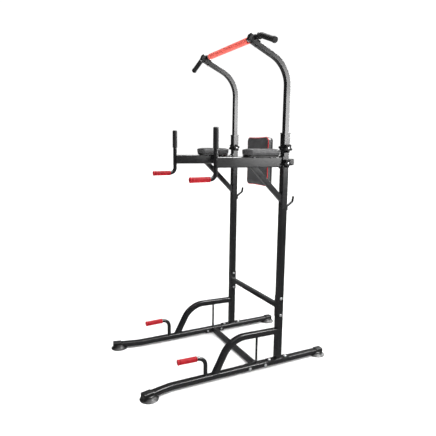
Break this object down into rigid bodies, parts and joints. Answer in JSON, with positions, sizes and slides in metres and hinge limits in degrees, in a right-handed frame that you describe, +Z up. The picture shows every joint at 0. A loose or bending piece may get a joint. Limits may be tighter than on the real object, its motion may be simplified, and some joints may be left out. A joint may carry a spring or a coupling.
{
  "type": "power tower",
  "caption": "Free-standing power tower with telescoping pull-up bar, dip handles on padded arms, sliding backrest, push-up handles on the base and suction-cup feet",
  "frame": {"origin": "middle of the footprint, on the floor", "axes": "+Z up; the person using the tower faces -Y, so +X is their left and the backrest and the posts are towards +Y"},
  "size_m": [1.0624, 1.2982, 2.0066],
  "materials": {
    "frame_black": "satin black powder coat",
    "bare_steel": "plain steel, hidden inside the runners",
    "rubber_black": "moulded black rubber, slight sheen",
    "plastic_black": "moulded black nylon, fine texture",
    "grip_red": "red rubber, ribbed in the middle",
    "foam_black": "closed-cell black foam",
    "foam_red": "closed-cell red foam",
    "pad_leather": "black imitation leather, fine grain",
    "board": "backing board, dark",
    "zinc_steel": "zinc-plated fasteners"
  },
  "bodies": {
    "base_frame": {"front_base_tube_left": "frame_black", "front_base_tube_right": "frame_black", "rear_base_tube_left": "frame_black", "rear_base_tube_right": "frame_black", "upright_left": "frame_black", "upright_right": "frame_black", "curved_brace_left": "frame_black", "curved_brace_right": "frame_black", "push_up_handle_left": "frame_black", "push_up_handle_right": "frame_black", "arm_left": "frame_black", "arm_right": "frame_black", "arm_brace_left": "frame_black", "arm_brace_right": "frame_black", "dip_handle_left": "frame_black", "dip_handle_right": "frame_black", "hook_left": "frame_black", "hook_right": "frame_black", "floor_cross_tube": "frame_black", "upright_cross_tube": "frame_black", "backrest_cross_tube": "frame_black", "base_spigots": "bare_steel", "front_foot_left": "rubber_black", "front_foot_right": "rubber_black", "rear_foot_left": "rubber_black", "rear_foot_right": "rubber_black", "upright_collars": "plastic_black", "push_up_grip_left": "grip_red", "push_up_grip_right": "grip_red", "dip_front_grip_left": "grip_red", "dip_front_grip_right": "grip_red", "dip_grip_left": "foam_black", "dip_grip_right": "foam_black", "elbow_pad_left": "pad_leather", "elbow_pad_right": "pad_leather", "elbow_board_left": "board", "elbow_board_right": "board", "base_bolts": "zinc_steel", "foot_plate_bolts": "zinc_steel", "upright_bolts": "zinc_steel", "pad_screws": "zinc_steel"},
    "upper_frame": {"upper_tube_left": "frame_black", "upper_tube_right": "frame_black", "bar_clamp_left": "plastic_black", "bar_clamp_right": "plastic_black", "side_grip_left": "foam_black", "side_grip_right": "foam_black", "pull_up_bar": "frame_black", "pull_up_foam": "foam_red", "clamp_bolts": "zinc_steel"},
    "backrest": {"backrest_slide_tube": "frame_black", "backrest_board": "board", "backrest_pad": "pad_leather"},
    "height_knob_outer_left_body": {"height_knob_outer_left": "plastic_black"},
    "height_knob_outer_right_body": {"height_knob_outer_right": "plastic_black"},
    "height_knob_inner_left_body": {"height_knob_inner_left": "plastic_black"},
    "height_knob_inner_right_body": {"height_knob_inner_right": "plastic_black"},
    "arm_knob_left_body": {"arm_knob_left": "plastic_black"},
    "arm_knob_right_body": {"arm_knob_right": "plastic_black"},
    "backrest_knob_body": {"backrest_knob": "plastic_black"}
  },
  "joints": [
    {"name": "height_adjust", "type": "slide", "parent": "base_frame", "child": "upper_frame", "axis": [0, 0, 1], "range_m": [-0.25, 0]},
    {"name": "backrest_depth", "type": "slide", "parent": "base_frame", "child": "backrest", "axis": [0, -1, 0], "range_m": [0, 0.09]},
    {"name": "height_knob_outer_left_turn", "type": "hinge", "parent": "base_frame", "child": "height_knob_outer_left_body", "pos_m": [0.34, 0.276, 1.383], "axis": [1, 0, 0], "range_deg": [0, 720]},
    {"name": "height_knob_inner_left_turn", "type": "hinge", "parent": "base_frame", "child": "height_knob_inner_left_body", "pos_m": [0.29, 0.276, 1.383], "axis": [-1, 0, 0], "range_deg": [0, 720]},
    {"name": "arm_knob_left_turn", "type": "hinge", "parent": "base_frame", "child": "arm_knob_left_body", "pos_m": [0.345, 0.276, 1.295], "axis": [1, 0, 0], "range_deg": [0, 720]},
    {"name": "height_knob_outer_right_turn", "type": "hinge", "parent": "base_frame", "child": "height_knob_outer_right_body", "pos_m": [-0.34, 0.276, 1.383], "axis": [-1, 0, 0], "range_deg": [0, 720]},
    {"name": "height_knob_inner_right_turn", "type": "hinge", "parent": "base_frame", "child": "height_knob_inner_right_body", "pos_m": [-0.29, 0.276, 1.383], "axis": [1, 0, 0], "range_deg": [0, 720]},
    {"name": "arm_knob_right_turn", "type": "hinge", "parent": "base_frame", "child": "arm_knob_right_body", "pos_m": [-0.345, 0.276, 1.295], "axis": [-1, 0, 0], "range_deg": [0, 720]},
    {"name": "backrest_knob_turn", "type": "hinge", "parent": "base_frame", "child": "backrest_knob_body", "pos_m": [0, 0.379, 1.33], "axis": [0, 0, 1], "range_deg": [0, 720]}
  ]
}
